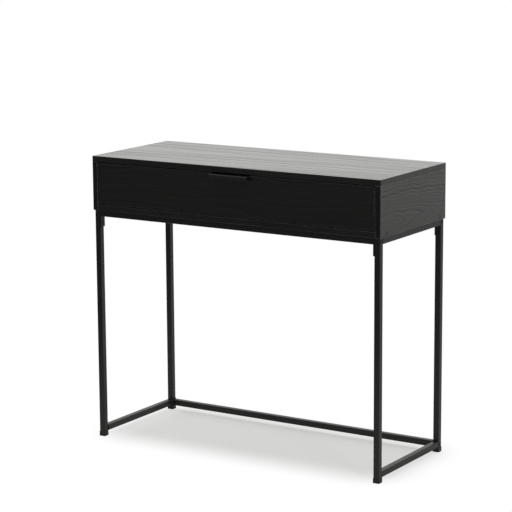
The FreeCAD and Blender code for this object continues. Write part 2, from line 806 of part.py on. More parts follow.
def make_drawer_member(side, sign):
    name = "drawer_runner_" + side
    start = dim.drawer_member_setoff
    web = dim.runner_sheet
    under = drawer_member_top - web
    points = [(start, under), (start, drawer_member_top), (dim.runner_space, drawer_member_top)]
    inside = [(start, under), (dim.runner_space - web, under)]
    upper = [(sign * (inner_x - off), runner_z + height) for off, height in reversed(inside)]
    upper += [(sign * (inner_x - off), runner_z + height) for off, height in points[1:]]
    lower = [(sign * (inner_x - off), runner_z - height) for off, height in reversed(points[1:])]
    lower += [(sign * (inner_x - off), runner_z - height) for off, height in inside]
    tools = race(name + "_race", sign, inner_ball_off, inner_ball_height, dim.inner_ball)
    for number, y in enumerate(runner_screw_y):
        at = (sign * (drawer_outer_x + web), y, runner_z)
        tools.append(cylinder("%s_hole_%d" % (name, number), at, inward(sign),
                              dim.screw_radius + play, web))
    finish(carve(name, padded(name + "_profile", "Y", [upper + lower], runner_y), tools), name)


def ball_places(sign, off, height):
    first = (runner_y[0] + runner_y[1]) / 2 - dim.ball_pitch * (BALLS_IN_ROW - 1) / 2
    return [((sign * (inner_x - off), first + number * dim.ball_pitch, runner_z + way * height), "+Z")
            for way in (1, -1) for number in range(BALLS_IN_ROW)]


def make_ball_set(name, side, sign, cage_off, off, height, radius):
    """A bent cage with two rows of balls, between two members of a runner."""
    sheet = dim.cage_sheet
    reach = off + radius + dim.cage_edge
    points = [(cage_off, height + sheet / 2), (reach, height + sheet / 2), (reach, height - sheet / 2),
              (cage_off + sheet, height - sheet / 2)]
    places = ball_places(sign, off, height)
    cage = "%s_ball_cage_%s" % (name, side)
    tools = [cylinder("%s_hole_%d" % (cage, number), (x, y, z - sheet), "+Z",
                      radius + dim.ball_hole_play, 2 * sheet)
             for number, ((x, y, z), direction) in enumerate(places)]
    finish(carve(cage, padded(cage + "_profile", "Y", [section(sign, points)], cage_y), tools), cage)
    copies("%s_balls_%s" % (name, side), sphere("%s_ball_%s" % (name, side), radius), places)


def make_runner(side, sign):
    make_cabinet_member(side, sign)
    make_middle_member(side, sign)
    make_drawer_member(side, sign)
    make_ball_set("outer", side, sign, dim.runner_sheet + dim.cage_play, dim.outer_ball_off,
                  outer_ball_height, dim.outer_ball)
    make_ball_set("inner", side, sign, dim.middle_setoff + dim.middle_sheet + dim.cage_play / 2,
                  inner_ball_off, inner_ball_height, dim.inner_ball)


def make_runner_screws():
    into_box, into_drawer = [], []
    for sign in SIDES.values():
        for y in runner_screw_y:
            into_box.append(((sign * (inner_x - dim.runner_sheet), y, runner_z), outward(sign)))
            into_drawer.append(((sign * (drawer_outer_x + dim.runner_sheet), y, runner_z), inward(sign)))
    flat = flat_screw("runner_flat_screw", dim.screw_radius, dim.screw_head, dim.short_screw_length)
    copies("cabinet_runner_screws", flat, into_box)
    copies("drawer_runner_screws", domed_screw("runner_domed_screw", dim.short_screw_length), into_drawer)


# --- Drawer --------------------------------------------------------------------------------------

def make_drawer_front():
    rear_face = drawer_front_y[1]
    half_seat = dim.handle_width / 2 + dim.handle_side_play
    tools = [block("front_seat", (-half_seat, half_seat), (front - 1, rear_face + 1),
                   (handle_seat, drawer_front_z[1] + 1)),
             block("front_groove", (-drawer_inner_x - groove_reach, drawer_inner_x + groove_reach),
                   (rear_face - dim.groove_depth, rear_face), drawer_groove_z)]
    for side, sign in SIDES.items():
        x = sign * drawer_side_mid_x
        tools.append(cylinder("front_%s_bolt_hole" % side, (x, rear_face, drawer_cam_z), "-Y",
                              dim.cam_bolt_thread + play, dim.cam_bolt_bite + play))
        tools.append(cylinder("front_%s_dowel_hole" % side, (x, rear_face, drawer_dowel_z), "-Y",
                              dim.drawer_dowel_radius + play, dim.dowel_bite + play))
        at = (sign * dim.handle_screw_x, rear_face, handle_top - dim.handle_screw_drop)
        tools.append(cylinder("front_%s_screw_hole" % side, at, "-Y", dim.screw_radius + play,
                              dim.short_screw_length - dim.handle_sheet + play))
    blank = board("front_blank", (-drawer_front_x, drawer_front_x), drawer_front_y, drawer_front_z)
    finish(carve("drawer_front", blank, tools), "drawer_front")


def make_drawer_side(side, sign):
    name = "drawer_side_" + side
    start = drawer_front_y[1]
    x = sign * drawer_side_mid_x
    tools = [block(name + "_groove", span(sign, drawer_inner_x, drawer_inner_x + dim.groove_depth),
                   (start, drawer_back_y[0] + groove_reach), drawer_groove_z),
             cylinder(name + "_cam_hole", (sign * drawer_inner_x, drawer_cam_at_y, drawer_cam_z),
                      outward(sign), dim.drawer_cam_radius + play, drawer_cam_depth + play),
             cylinder(name + "_stem_hole", (x, start, drawer_cam_z), "+Y", dim.cam_bolt_head + play,
                      dim.cam_offset),
             cylinder(name + "_dowel_hole", (x, start, drawer_dowel_z), "+Y",
                      dim.drawer_dowel_radius + play, dim.dowel_tail + play)]
    for number, y in enumerate(runner_screw_y):
        tools.append(cylinder("%s_runner_hole_%d" % (name, number), (sign * drawer_outer_x, y, runner_z),
                              inward(sign), dim.screw_radius + play,
                              dim.short_screw_length - dim.runner_sheet + play))
    for number, z in enumerate(back_screw_heights):
        at = (sign * drawer_outer_x, back_screw_y, z)
        tools += flat_screw_hole("%s_back_hole_%d" % (name, number), at, inward(sign),
                                 dim.screw_radius, dim.screw_head, dim.drawer_board)
    blank = board(name + "_blank", span(sign, drawer_inner_x, drawer_outer_x), (start, drawer_end_y),
                  drawer_side_z)
    finish(carve(name, blank, tools), name)


def make_drawer_back():
    tools = [block("drawer_back_groove", (-drawer_inner_x, drawer_inner_x),
                   (drawer_back_y[0], drawer_back_y[0] + dim.groove_depth), drawer_groove_z)]
    depth = dim.back_screw_length - dim.drawer_board + play
    for side, sign in SIDES.items():
        for number, z in enumerate(back_screw_heights):
            tools.append(cylinder("drawer_back_hole_%s_%d" % (side, number),
                                  (sign * drawer_inner_x, back_screw_y, z), inward(sign),
                                  dim.screw_radius + play, depth))
    blank = board("drawer_back_blank", (-drawer_inner_x, drawer_inner_x), drawer_back_y, drawer_side_z)
    finish(carve("drawer_back", blank, tools), "drawer_back")


def make_drawer_bottom():
    reach = drawer_inner_x + groove_reach
    y = (drawer_front_y[1] - groove_reach, drawer_back_y[0] + groove_reach)
    panel = padded("drawer_bottom", "Z", [rectangle((-reach, reach), y)], drawer_bottom_z)
    finish(panel, "drawer_bottom")


def make_handle():
    """A strip of steel bent over the drawer front's top edge: back plate, shelf and lip."""
    sheet = dim.handle_sheet
    lip_y = front - dim.handle_reach
    back = drawer_front_y[1]
    lip_end = handle_top - dim.handle_lip
    back_end = handle_top - dim.handle_back
    points = [(lip_y, lip_end), (lip_y + sheet, lip_end), (lip_y + sheet, handle_seat),
              (back, handle_seat), (back, back_end), (back + sheet, back_end),
              (back + sheet, handle_top), (lip_y, handle_top)]
    half = dim.handle_width / 2
    strip = padded("handle_strip", "X", [points], (-half, half))
    round_edges(strip, bend_edge(strip.Shape, lip_y, handle_top), dim.handle_bend)
    round_edges(strip, bend_edge(strip.Shape, lip_y + sheet, handle_seat), dim.handle_bend - sheet)
    round_edges(strip, bend_edge(strip.Shape, back + sheet, handle_top), sheet)
    holes = [cylinder("handle_hole_" + side, (sign * dim.handle_screw_x, back + sheet,
                                              handle_top - dim.handle_screw_drop),
                      "-Y", dim.screw_radius + play, sheet) for side, sign in SIDES.items()]
    finish(carve("handle", strip, holes), "handle")


def bend_edge(shape, y, z):
    """The name of the edge along X that passes through a place."""
    names = []
    for number, edge in enumerate(shape.Edges, start=1):
        middle = edge.BoundBox.Center
        if abs(middle.y - y.value) < 0.01 and abs(middle.z - z.value) < 0.01:
            names.append("Edge%d" % number)
    return names


def make_drawer_fasteners():
    handle_screws, cams, bolts, dowels, back_screws = [], [], [], [], []
    rear_face = drawer_front_y[1]
    for sign in SIDES.values():
        x = sign * drawer_side_mid_x
        handle_screws.append(((sign * dim.handle_screw_x, rear_face + dim.handle_sheet,
                               handle_top - dim.handle_screw_drop), "-Y"))
        cams.append(((sign * drawer_inner_x, drawer_cam_at_y, drawer_cam_z), outward(sign)))
        bolts.append(((x, rear_face, drawer_cam_z), "-Y"))
        dowels.append(((x, rear_face, drawer_dowel_z), "-Y"))
        for z in back_screw_heights:
            back_screws.append(((sign * drawer_outer_x, back_screw_y, z), inward(sign)))
    copies("handle_screws", domed_screw("handle_screw", dim.short_screw_length), handle_screws)
    small_cam = cam("small_cam", dim.drawer_cam_radius, drawer_cam_depth, dim.drawer_board / 2, "y")
    copies("drawer_cams", small_cam, cams)
    copies("drawer_cam_bolts", cam_bolt("small_cam_bolt", dim.cam_offset), bolts)
    copies("drawer_dowels", dowel("small_dowel", dim.drawer_dowel_radius), dowels)
    back_screw = flat_screw("back_screw", dim.screw_radius, dim.screw_head, dim.back_screw_length)
    copies("drawer_back_screws", back_screw, back_screws)


# --- The whole table -----------------------------------------------------------------------------

def make_box():
    make_top_panel()
    for side, sign in SIDES.items():
        make_side_panel(side, sign)
    make_bottom_panel()
    make_back_panel()
    make_box_fasteners()


def make_frame():
    for side, sign in SIDES.items():
        for end in ("front", "rear"):
            make_leg(end, side, sign)
            make_foot(end, side, sign)
        make_side_rails(side, sign)
    make_long_top_rail("front", front_leg_y, dim.front_plate)
    make_long_top_rail("rear", rear_leg_y, dim.rear_plate)
    reach = leg_inner_x - dim.rear_plate
    finish(tube("bottom_rail_rear", "X", (-reach, reach), rear_leg_y, lower_rail_z), "bottom_rail_rear")
    upper_bolts = [top_rail_mid, plate_bolt_z]
    make_end_plates("front_end_plates", dim.front_plate, front_leg_y,
                    (top_rail_z[0] - dim.front_plate_drop, box_base), upper_bolts)
    make_end_plates("rear_end_plates", dim.rear_plate, rear_leg_y,
                    (top_rail_z[0] - dim.rear_plate_drop, box_base), upper_bolts)
    make_end_plates("lower_end_plates", dim.rear_plate, rear_leg_y,
                    (lower_rail_z[0], lower_rail_z[1] + dim.lower_plate_rise), [lower_rail_mid])
    make_frame_fasteners()


def make_drawer():
    make_drawer_front()
    for side, sign in SIDES.items():
        make_drawer_side(side, sign)
    make_drawer_back()
    make_drawer_bottom()
    make_handle()
    make_drawer_fasteners()


def check_document():
    for item in doc.Objects:
        if "Invalid" in item.State or "Error" in item.State:
            raise RuntimeError("failed object: %s %s" % (item.Name, item.State))
    for item in nodes:
        if item.Shape.isNull() or not item.Shape.isValid():
            raise RuntimeError("bad shape: " + item.Label)
        if not item.Shape.Solids:
            raise RuntimeError("no solid: " + item.Label)


def export_nodes():
    os.makedirs("parts", exist_ok=True)
    for item in nodes:
        item.Shape.exportStep(os.path.join("parts", item.Label + ".step"))


make_box()
make_frame()
for runner_side, runner_sign in SIDES.items():
    make_runner(runner_side, runner_sign)
make_runner_screws()
make_drawer()
doc.recompute()
check_document()
export_nodes()
print("nodes:", len(nodes), "solids:", sum(len(item.Shape.Solids) for item in nodes))
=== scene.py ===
import math

import bmesh
import bpy
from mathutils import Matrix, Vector


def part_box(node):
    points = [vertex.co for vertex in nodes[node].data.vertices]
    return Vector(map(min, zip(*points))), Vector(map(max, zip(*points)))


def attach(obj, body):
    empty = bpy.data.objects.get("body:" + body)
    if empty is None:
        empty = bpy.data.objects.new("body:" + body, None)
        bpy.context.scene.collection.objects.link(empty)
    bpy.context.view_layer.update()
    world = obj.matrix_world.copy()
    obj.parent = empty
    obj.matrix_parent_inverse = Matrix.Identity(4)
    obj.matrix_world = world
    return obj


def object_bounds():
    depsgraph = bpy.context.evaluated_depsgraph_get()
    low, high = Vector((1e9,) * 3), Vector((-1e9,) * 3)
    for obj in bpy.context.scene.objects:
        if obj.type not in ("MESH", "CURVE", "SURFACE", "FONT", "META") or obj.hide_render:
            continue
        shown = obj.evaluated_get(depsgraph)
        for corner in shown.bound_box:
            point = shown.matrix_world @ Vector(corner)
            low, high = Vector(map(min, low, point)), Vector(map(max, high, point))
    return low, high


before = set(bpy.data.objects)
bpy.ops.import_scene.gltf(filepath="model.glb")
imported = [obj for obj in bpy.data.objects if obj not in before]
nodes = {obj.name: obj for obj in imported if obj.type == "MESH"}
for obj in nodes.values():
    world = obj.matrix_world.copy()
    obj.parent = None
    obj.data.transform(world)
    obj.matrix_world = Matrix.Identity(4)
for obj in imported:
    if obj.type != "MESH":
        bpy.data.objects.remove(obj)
cad_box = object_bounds()
MM = 0.001


# ---------------------------------------------------------------- node materials

class Nodes:
    """A node tree, built up one node at a time."""

    def __init__(self, tree):
        self.tree = tree

    def node(self, kind, sockets=None, **settings):
        made = self.tree.nodes.new(kind)
        for name, value in settings.items():
            setattr(made, name, value)
        for socket, value in (sockets or {}).items():
            self.put(made.inputs[socket], value)
        return made

    def put(self, socket, value):
        if isinstance(value, bpy.types.NodeSocket):
            self.tree.links.new(value, socket)
        else:
            socket.default_value = value

    def calc(self, operation, first, second=0.0, third=0.0):
        made = self.node("ShaderNodeMath", {0: first, 1: second, 2: third}, operation=operation)
        return made.outputs[0]

    def remap(self, value, low, high, to_low=0.0, to_high=1.0):
        sockets = {"Value": value, "From Min": low, "From Max": high, "To Min": to_low,
                   "To Max": to_high}
        return self.node("ShaderNodeMapRange", sockets, interpolation_type="SMOOTHSTEP").outputs[0]


class Look(Nodes):
    """A material whose Principled shader is fed from the place in the row frame."""

    def __init__(self, name):
        self.material = bpy.data.materials.new(name)
        self.material.use_nodes = True
        super().__init__(self.material.node_tree)
        self.shader = self.tree.nodes["Principled BSDF"]
        self.place = self.node("ShaderNodeTexCoord").outputs["Object"]

    def stretched(self, factors, shift=(0, 0, 0)):
        """The place in the row frame, moved and then scaled along each axis."""
        moved = self.node("ShaderNodeVectorMath", {0: self.place, 1: shift}, operation="ADD").outputs[0]
        made = self.node("ShaderNodeVectorMath", {0: moved, 1: factors}, operation="MULTIPLY")
        return made.outputs[0]

    def noise(self, vector, detail=3.0, roughness=0.5, distortion=0.0):
        sockets = {"Vector": vector, "Scale": 1.0, "Detail": detail, "Roughness": roughness,
                   "Distortion": distortion}
        return self.node("ShaderNodeTexNoise", sockets).outputs[0]

    def line_noise(self, value, detail=3.0, roughness=0.6):
        sockets = {"W": value, "Scale": 1.0, "Detail": detail, "Roughness": roughness}
        return self.node("ShaderNodeTexNoise", sockets, noise_dimensions="1D").outputs[0]

    def cells(self, vector):
        return self.node("ShaderNodeTexVoronoi", {"Vector": vector, "Scale": 1.0}).outputs["Distance"]

    def between(self, factor, first, second):
        return self.node("ShaderNodeMix", {0: factor, 2: first, 3: second}).outputs[0]

    def mixed(self, factor, first, second):
        sockets = {0: factor, 6: grey(first), 7: grey(second)}
        return self.node("ShaderNodeMix", sockets, data_type="RGBA").outputs[2]

    def bump(self, height, distance):
        sockets = {"Height": height, "Distance": distance, "Strength": 1.0}
        return self.node("ShaderNodeBump", sockets).outputs[0]

    def surface(self, colour, roughness, normal, metallic=0.0, ior=1.5):
        self.put(self.shader.inputs["Base Color"], colour)
        self.put(self.shader.inputs["Roughness"], roughness)
        self.put(self.shader.inputs["Normal"], normal)
        self.shader.inputs["Metallic"].default_value = metallic
        self.shader.inputs["IOR"].default_value = ior
        return self.material

    def edge_distance(self, node):
        """How far a place on a board's or a tube's surface is from its nearest outside edge."""
        low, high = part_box(node)
        parts = self.node("ShaderNodeSeparateXYZ", {0: self.place}).outputs
        gaps = []
        for axis in range(3):
            from_low = self.calc("SUBTRACT", parts[axis], low[axis])
            from_high = self.calc("SUBTRACT", high[axis], parts[axis])
            gaps.append(self.calc("MINIMUM", from_low, from_high))
        nearer = self.calc("MINIMUM", gaps[0], gaps[1])
        further = self.calc("MAXIMUM", gaps[0], gaps[1])
        return self.calc("MAXIMUM", nearer, self.calc("MINIMUM", further, gaps[2]))


def grey(value):
    """A colour from one number, three numbers or a socket."""
    if isinstance(value, bpy.types.NodeSocket):
        return value
    if isinstance(value, (int, float)):
        return (value, value, value, 1.0)
    return (*value, 1.0)


def along(grain, across, lengthwise):
    """Scale factors for a texture stretched along an axis."""
    return tuple(lengthwise if axis == grain else across for axis in "xyz")


def wood_board(node, grain, across, centre, slope, shift, figure, pitch, wave, arris_highlight_colour):
    """Black foil with an embossed wood figure: flames about a centre line, fine fibres and pores.

    The figure's lines follow the grain axis. They open about the centre line, which lies at a place
    on the across axis and climbs by the slope, and they are spaced by the pitch and bent by the wave,
    both in cycles per metre. Figure is how strongly they show. The last argument is the colour of a
    painted highlight along the board's arrises, a pale line where their rounds would catch the light.
    The two ends of the grain are closed by an edge band whose own grain runs along the band."""
    look = Look("black_wood_" + node)
    parts = look.node("ShaderNodeSeparateXYZ", {0: look.place}).outputs
    lengthwise = parts["xyz".index(grain)]
    crosswise = parts["xyz".index(across)]
    drift = look.noise(look.stretched(along(grain, 0.0, 2.6), shift), 1.0)
    waver = look.noise(look.stretched(along(grain, 15.0, wave), shift), 2.0, 0.5)
    off = look.calc("MULTIPLY_ADD", drift, 0.07, look.calc("SUBTRACT", crosswise, centre + 0.035))
    hill = look.calc("SQRT", look.calc("MULTIPLY_ADD", off, off, 0.00012))
    rise = look.calc("MULTIPLY_ADD", lengthwise, slope, hill)
    ring = look.calc("MULTIPLY_ADD", waver, 0.024, rise)
    veins = look.line_noise(look.calc("MULTIPLY", ring, pitch), 2.0, 0.5)
    veins = look.remap(veins, 0.28, 0.60)
    hairs = look.line_noise(look.calc("MULTIPLY", ring, 430.0), 2.0, 0.6)
    normal = look.node("ShaderNodeNewGeometry").outputs["Normal"]
    facing = look.node("ShaderNodeSeparateXYZ", {0: normal}).outputs["xyz".index(grain)]
    end = look.remap(look.calc("ABSOLUTE", facing), 0.60, 0.90)
    veins = look.between(end, veins, look.noise(look.stretched(along(across, 260.0, 7.0), shift)))
    hairs = look.between(end, hairs, look.noise(look.stretched(along(across, 800.0, 12.0), shift)))
    streaks = look.noise(look.stretched(along(grain, 34.0, 2.4), shift), 3.0, 0.55)
    streaks = look.remap(streaks, 0.30, 0.70)
    fibre = look.noise(look.stretched(along(grain, 760.0, 4.0), shift), 3.0, 0.6)
    pores = look.noise(look.stretched(along(grain, 1500.0, 30.0), shift), 2.0, 0.6)
    pores = look.remap(pores, 0.62, 0.72)
    tone = look.calc("MULTIPLY_ADD", veins, 0.40, look.calc("MULTIPLY", hairs, 0.25))
    tone = look.calc("MULTIPLY_ADD", fibre, 0.20, tone)
    tone = look.calc("MULTIPLY_ADD", streaks, 0.15, tone)
    pale = 0.0200 + 0.0030 * (figure - 1.0)
    colour = look.mixed(tone, (0.0042, 0.0041, 0.0040), (pale, pale * 0.98, pale * 0.95))
    colour = look.mixed(end, colour, look.mixed(veins, 0.0025, 0.0090))
    colour = look.mixed(look.calc("MULTIPLY", pores, 0.5), colour, 0.0035)
    # Painted highlight: within about a millimetre of the board's arrises the colour turns pale, standing
    # in for the light that their rounded edges catch.
    arris_highlight = look.remap(look.edge_distance(node), 0.0012, 0.0003, 0.0, 0.8)
    colour = look.mixed(arris_highlight, colour, arris_highlight_colour)
    gloss = look.calc("MULTIPLY_ADD", veins, -0.08 * figure, 0.240 + 0.04 * figure)
    gloss = look.calc("SUBTRACT", gloss, 0.025 * figure)
    gloss = look.calc("MULTIPLY_ADD", streaks, -0.05 * figure, gloss)
    gloss = look.calc("ADD", gloss, 0.045)
    gloss = look.calc("MULTIPLY_ADD", fibre, 0.05, gloss)
    gloss = look.calc("MULTIPLY_ADD", pores, 0.06, gloss)
    gloss = look.calc("MULTIPLY_ADD", end, 0.10, gloss)
    gloss = look.calc("MAXIMUM", gloss, 0.12)
    relief = look.calc("MULTIPLY", hairs, 0.040)
    relief = look.calc("MULTIPLY_ADD", veins, 0.040 + 0.110 * figure, relief)
    relief = look.calc("MULTIPLY_ADD", fibre, 0.012, relief)
    relief = look.calc("MULTIPLY_ADD", pores, -0.015, relief)
    return look.surface(colour, gloss, look.bump(relief, MM), ior=1.59)


def drawer_board(name, grain):
    """The drawer's own boards: a flat black foil with a fine straight grain."""
    look = Look(name)
    fibre = look.noise(look.stretched(along(grain, 520.0, 10.0)), 4.0, 0.6)
    cloud = look.noise(look.stretched(along(grain, 14.0, 3.0)), 2.0)
    colour = look.mixed(fibre, (0.0085, 0.0085, 0.0088), (0.0180, 0.0178, 0.0175))
    gloss = look.calc("MULTIPLY_ADD", cloud, 0.14, 0.42)
    return look.surface(colour, gloss, look.bump(fibre, 0.020 * MM))


def thin_board():
    """Hardboard printed black: pressed fibres with a weak sheen."""
    look = Look("black_hardboard")
    flakes = look.noise(look.stretched((260.0, 260.0, 260.0)), 5.0, 0.7, 0.6)
    cloud = look.noise(look.stretched((12.0, 12.0, 12.0)), 2.0)
    colour = look.mixed(look.remap(flakes, 0.35, 0.68), 0.0070, (0.0175, 0.0170, 0.0165))
    gloss = look.calc("MULTIPLY_ADD", cloud, 0.16, 0.50)
    return look.surface(colour, gloss, look.bump(flakes, 0.060 * MM))


def powder_coat(name, node=None, base=0.0130, gloss=0.33, peel=0.010 * MM):
    """Black powder coat: orange peel, slow tone changes and paint thinned on the edges."""
    look = Look(name)
    skin = look.noise(look.stretched((1100.0, 1100.0, 1100.0)), 3.0, 0.6)
    cloud = look.noise(look.stretched((22.0, 22.0, 9.0)), 3.0)
    colour = look.mixed(cloud, base * 0.8, base * 1.3)
    if node:
        thin = look.remap(look.edge_distance(node), 0.0009, 0.0002, 0.0, 0.5)
        colour = look.mixed(look.calc("MULTIPLY", thin, cloud), colour, 0.035)
    rough = look.calc("MULTIPLY_ADD", cloud, 0.12, gloss)
    rough = look.calc("MULTIPLY_ADD", skin, 0.06, rough)
    return look.surface(colour, rough, look.bump(skin, peel), ior=1.48)


def satin_handle():
    """Bent sheet steel, painted black, with faint lines along its length."""
    look = Look("black_handle")
    lines = look.noise(look.stretched((20.0, 900.0, 900.0)), 3.0, 0.6)
    cloud = look.noise(look.stretched((30.0, 60.0, 60.0)), 2.0)
    colour = look.mixed(lines, 0.0260, 0.0360)
    rough = look.calc("MULTIPLY_ADD", cloud, 0.10, 0.30)
    rough = look.calc("MULTIPLY_ADD", lines, 0.06, rough)
    return look.surface(colour, rough, look.bump(lines, 0.006 * MM), ior=1.30)


def plated(name, dark, light, rough_low, rough_high, grain=None, fine=700.0, relief=0.012 * MM):
    """Plated or bare metal: cloudy tone, fine marks that may run along an axis, and dull patches."""
    look = Look(name)
    factors = along(grain, fine, fine * 0.03) if grain else (fine, fine, fine)
    marks = look.noise(look.stretched(factors), 4.0, 0.65)
    cloud = look.noise(look.stretched((60.0, 60.0, 60.0)), 3.0, 0.6)
    tone = look.calc("MULTIPLY_ADD", marks, 0.5, look.calc("MULTIPLY", cloud, 0.5))
    colour = look.mixed(look.remap(tone, 0.3, 0.7), dark, light)
    rough = look.remap(tone, 0.3, 0.7, rough_low, rough_high)
    return look.surface(colour, rough, look.bump(marks, relief), metallic=1.0)


def runner_steel():
    """Zinc-plated strip: rolling lines along the runner, with darker greased tracks."""
    look = Look("runner_steel")
    lines = look.noise(look.stretched((900.0, 12.0, 900.0)), 4.0, 0.6)
    cloud = look.noise(look.stretched((40.0, 18.0, 40.0)), 3.0, 0.6)
    grease = look.remap(look.noise(look.stretched((70.0, 16.0, 70.0), (3, 1, 2)), 3.0), 0.52, 0.66)
    colour = look.mixed(look.remap(lines, 0.3, 0.7), (0.44, 0.45, 0.46), (0.62, 0.63, 0.64))
    colour = look.mixed(look.calc("MULTIPLY", grease, 0.45), colour, (0.30, 0.29, 0.26))
    rough = look.calc("MULTIPLY_ADD", cloud, 0.18, 0.24)
    rough = look.calc("SUBTRACT", rough, look.calc("MULTIPLY", grease, 0.08))
    return look.surface(colour, rough, look.bump(lines, 0.010 * MM), metallic=1.0)


def beech():
    """Turned beech dowels: pale straight grain with short dark flecks."""
    look = Look("beech")
    fibre = look.noise(look.stretched((500.0, 500.0, 500.0)), 4.0, 0.6)
    rays = look.remap(look.noise(look.stretched((1400.0, 1400.0, 260.0), (1, 5, 2)), 2.0), 0.58, 0.70)
    colour = look.mixed(fibre, (0.42, 0.26, 0.14), (0.62, 0.43, 0.25))
    colour = look.mixed(look.calc("MULTIPLY", rays, 0.6), colour, (0.26, 0.14, 0.07))
    rough = look.calc("MULTIPLY_ADD", fibre, 0.2, 0.55)
    return look.surface(colour, rough, look.bump(fibre, 0.040 * MM))


def moulded(name, base, gloss, pitch=1600.0, relief=0.020 * MM):
    """Moulded black plastic: a fine spark-eroded texture, scuffed here and there."""
    look = Look(name)
    pits = look.cells(look.stretched((pitch, pitch, pitch)))
    cloud = look.noise(look.stretched((90.0, 90.0, 90.0)), 3.0, 0.6)
    scuff = look.remap(look.noise(look.stretched((240.0, 240.0, 60.0), (2, 7, 1)), 3.0), 0.60, 0.74)
    colour = look.mixed(cloud, base * 0.8, base * 1.3)
    colour = look.mixed(look.calc("MULTIPLY", scuff, 0.5), colour, 0.040)
    rough = look.calc("MULTIPLY_ADD", scuff, 0.12, look.calc("MULTIPLY_ADD", cloud, 0.12, gloss))
    return look.surface(colour, rough, look.bump(pits, relief))


def paint(names, material):
    """The material goes into every material slot of these CAD nodes."""
    for name in names:
        slots = nodes[name].material_slots
        for slot in slots:
            slot.material = material


def named(*starts):
    """The CAD nodes whose names begin like this."""
    found = sorted(n for n in nodes if n.startswith(starts))
    assert found, starts
    return found


# The last value of each board is the colour of the painted highlight along its arrises.
BOARDS = {
    "top_panel": dict(grain="x", across="y", centre=0.030, slope=0.03, shift=(0, 0, 0),
                      figure=2.2, pitch=62.0, wave=1.6, arris_highlight_colour=0.022),
    "bottom_panel": dict(grain="x", across="y", centre=-0.02, slope=0.05, shift=(4, 1, 2),
                         figure=1.0, pitch=150.0, wave=2.4, arris_highlight_colour=0.100),
    "drawer_front": dict(grain="x", across="z", centre=0.648, slope=-0.03, shift=(2, 6, 3),
                         figure=1.0, pitch=150.0, wave=2.4, arris_highlight_colour=0.075),
    "side_panel_left": dict(grain="y", across="z", centre=0.700, slope=-0.12, shift=(1, 3, 8),
                            figure=2.7, pitch=190.0, wave=9.0, arris_highlight_colour=0.200),
    "side_panel_right": dict(grain="y", across="z", centre=0.636, slope=0.12, shift=(5, 2, 6),
                             figure=2.7, pitch=190.0, wave=9.0, arris_highlight_colour=0.200),
}
for board, settings in BOARDS.items():
    paint([board], wood_board(board, **settings))
paint(["drawer_side_left", "drawer_side_right"], drawer_board("drawer_board_long", "y"))
paint(["drawer_back"], drawer_board("drawer_board_cross", "x"))
paint(["back_panel", "drawer_bottom"], thin_board())
for tube in named("leg_", "top_rail_", "bottom_rail_"):
    paint([tube], powder_coat("powder_" + tube, tube))
paint(named("front_end_plates", "rear_end_plates", "lower_end_plates"), powder_coat("powder_plates"))
paint(["handle"], satin_handle())
paint(["rail_bolts", "plate_bolts"], powder_coat("black_bolts", base=0.016, gloss=0.30))
zinc = plated("zinc_plate", (0.42, 0.43, 0.45), (0.66, 0.67, 0.68), 0.24, 0.42)
paint(named("carcass_cam_bolts", "carcass_screws", "drawer_cam_bolts", "drawer_back_screws",
            "weld_nuts", "frame_screws", "cabinet_runner_screws", "drawer_runner_screws",
            "handle_screws"), zinc)
paint(["carcass_cams", "drawer_cams"],
      plated("cast_zinc", (0.30, 0.30, 0.31), (0.47, 0.47, 0.48), 0.42, 0.60, fine=1500.0,
             relief=0.030 * MM))
paint(["carcass_dowels", "drawer_dowels"], beech())
paint(["screw_caps"], moulded("cap_plastic", 0.012, 0.36))
paint(named("foot_"), moulded("foot_plastic", 0.013, 0.42, 1300.0, 0.030 * MM))
paint(named("cabinet_runner_left", "cabinet_runner_right", "middle_runner_", "drawer_runner_left",
            "drawer_runner_right"), runner_steel())
paint(named("outer_ball_cage_", "inner_ball_cage_"),
      plated("cage_steel", (0.40, 0.39, 0.36), (0.64, 0.62, 0.58), 0.28, 0.44, "y", 900.0))
paint(named("outer_balls_", "inner_balls_"),
      plated("ball_steel", (0.62, 0.63, 0.65), (0.80, 0.81, 0.82), 0.07, 0.16, fine=1800.0,
             relief=0.002 * MM))


# ---------------------------------------------------------------- weld beads

def bead(mesh, start, end, first, second, size):
    """A rippled fillet of weld along a corner line, between two faces that leave it first and second."""
    start, end, first, second = Vector(start), Vector(end), Vector(first), Vector(second)
    run = end - start
    steps = max(12, int(run.length / (0.25 * MM)))
    rings = []
    for step in range(steps + 1):
        share = step / steps
        taper = min(1.0, math.sqrt(max(0.0, 1 - (2 * share - 1) ** 8)) + 0.25)
        phase = (share * run.length / (1.3 * MM)) % 1.0
        ripple = 1.0 - 0.16 * phase ** 2
        here = start + run * share
        reach = size * taper
        ring = [here - (first + second) * 0.15 * MM]
        for part in range(7):
            angle = math.pi / 2 * part / 6
            swell = 0.80 + 0.20 * abs(math.cos(2 * angle)) * ripple
            outward = first * math.cos(angle) + second * math.sin(angle)
            ring.append(here + outward * reach * swell * ripple)
        rings.append([mesh.verts.new(point) for point in ring])
    count = len(rings[0])
    for near, far in zip(rings, rings[1:]):
        for place in range(count):
            after = (place + 1) % count
            mesh.faces.new((near[place], near[after], far[after], far[place]))
    mesh.faces.new(rings[0][::-1])
    mesh.faces.new(rings[-1])


def add_piece(name, mesh, material, body):
    """A finished mesh becomes a smooth piece that rides on a CAD body."""
    bmesh.ops.recalc_face_normals(mesh, faces=mesh.faces)
    data = bpy.data.meshes.new(name)
    mesh.to_mesh(data)
    mesh.free()
    piece = bpy.data.objects.new(name, data)
    bpy.context.scene.collection.objects.link(piece)
    data.polygons.foreach_set("use_smooth", [True] * len(data.polygons))
    data.materials.append(material)
    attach(piece, body)


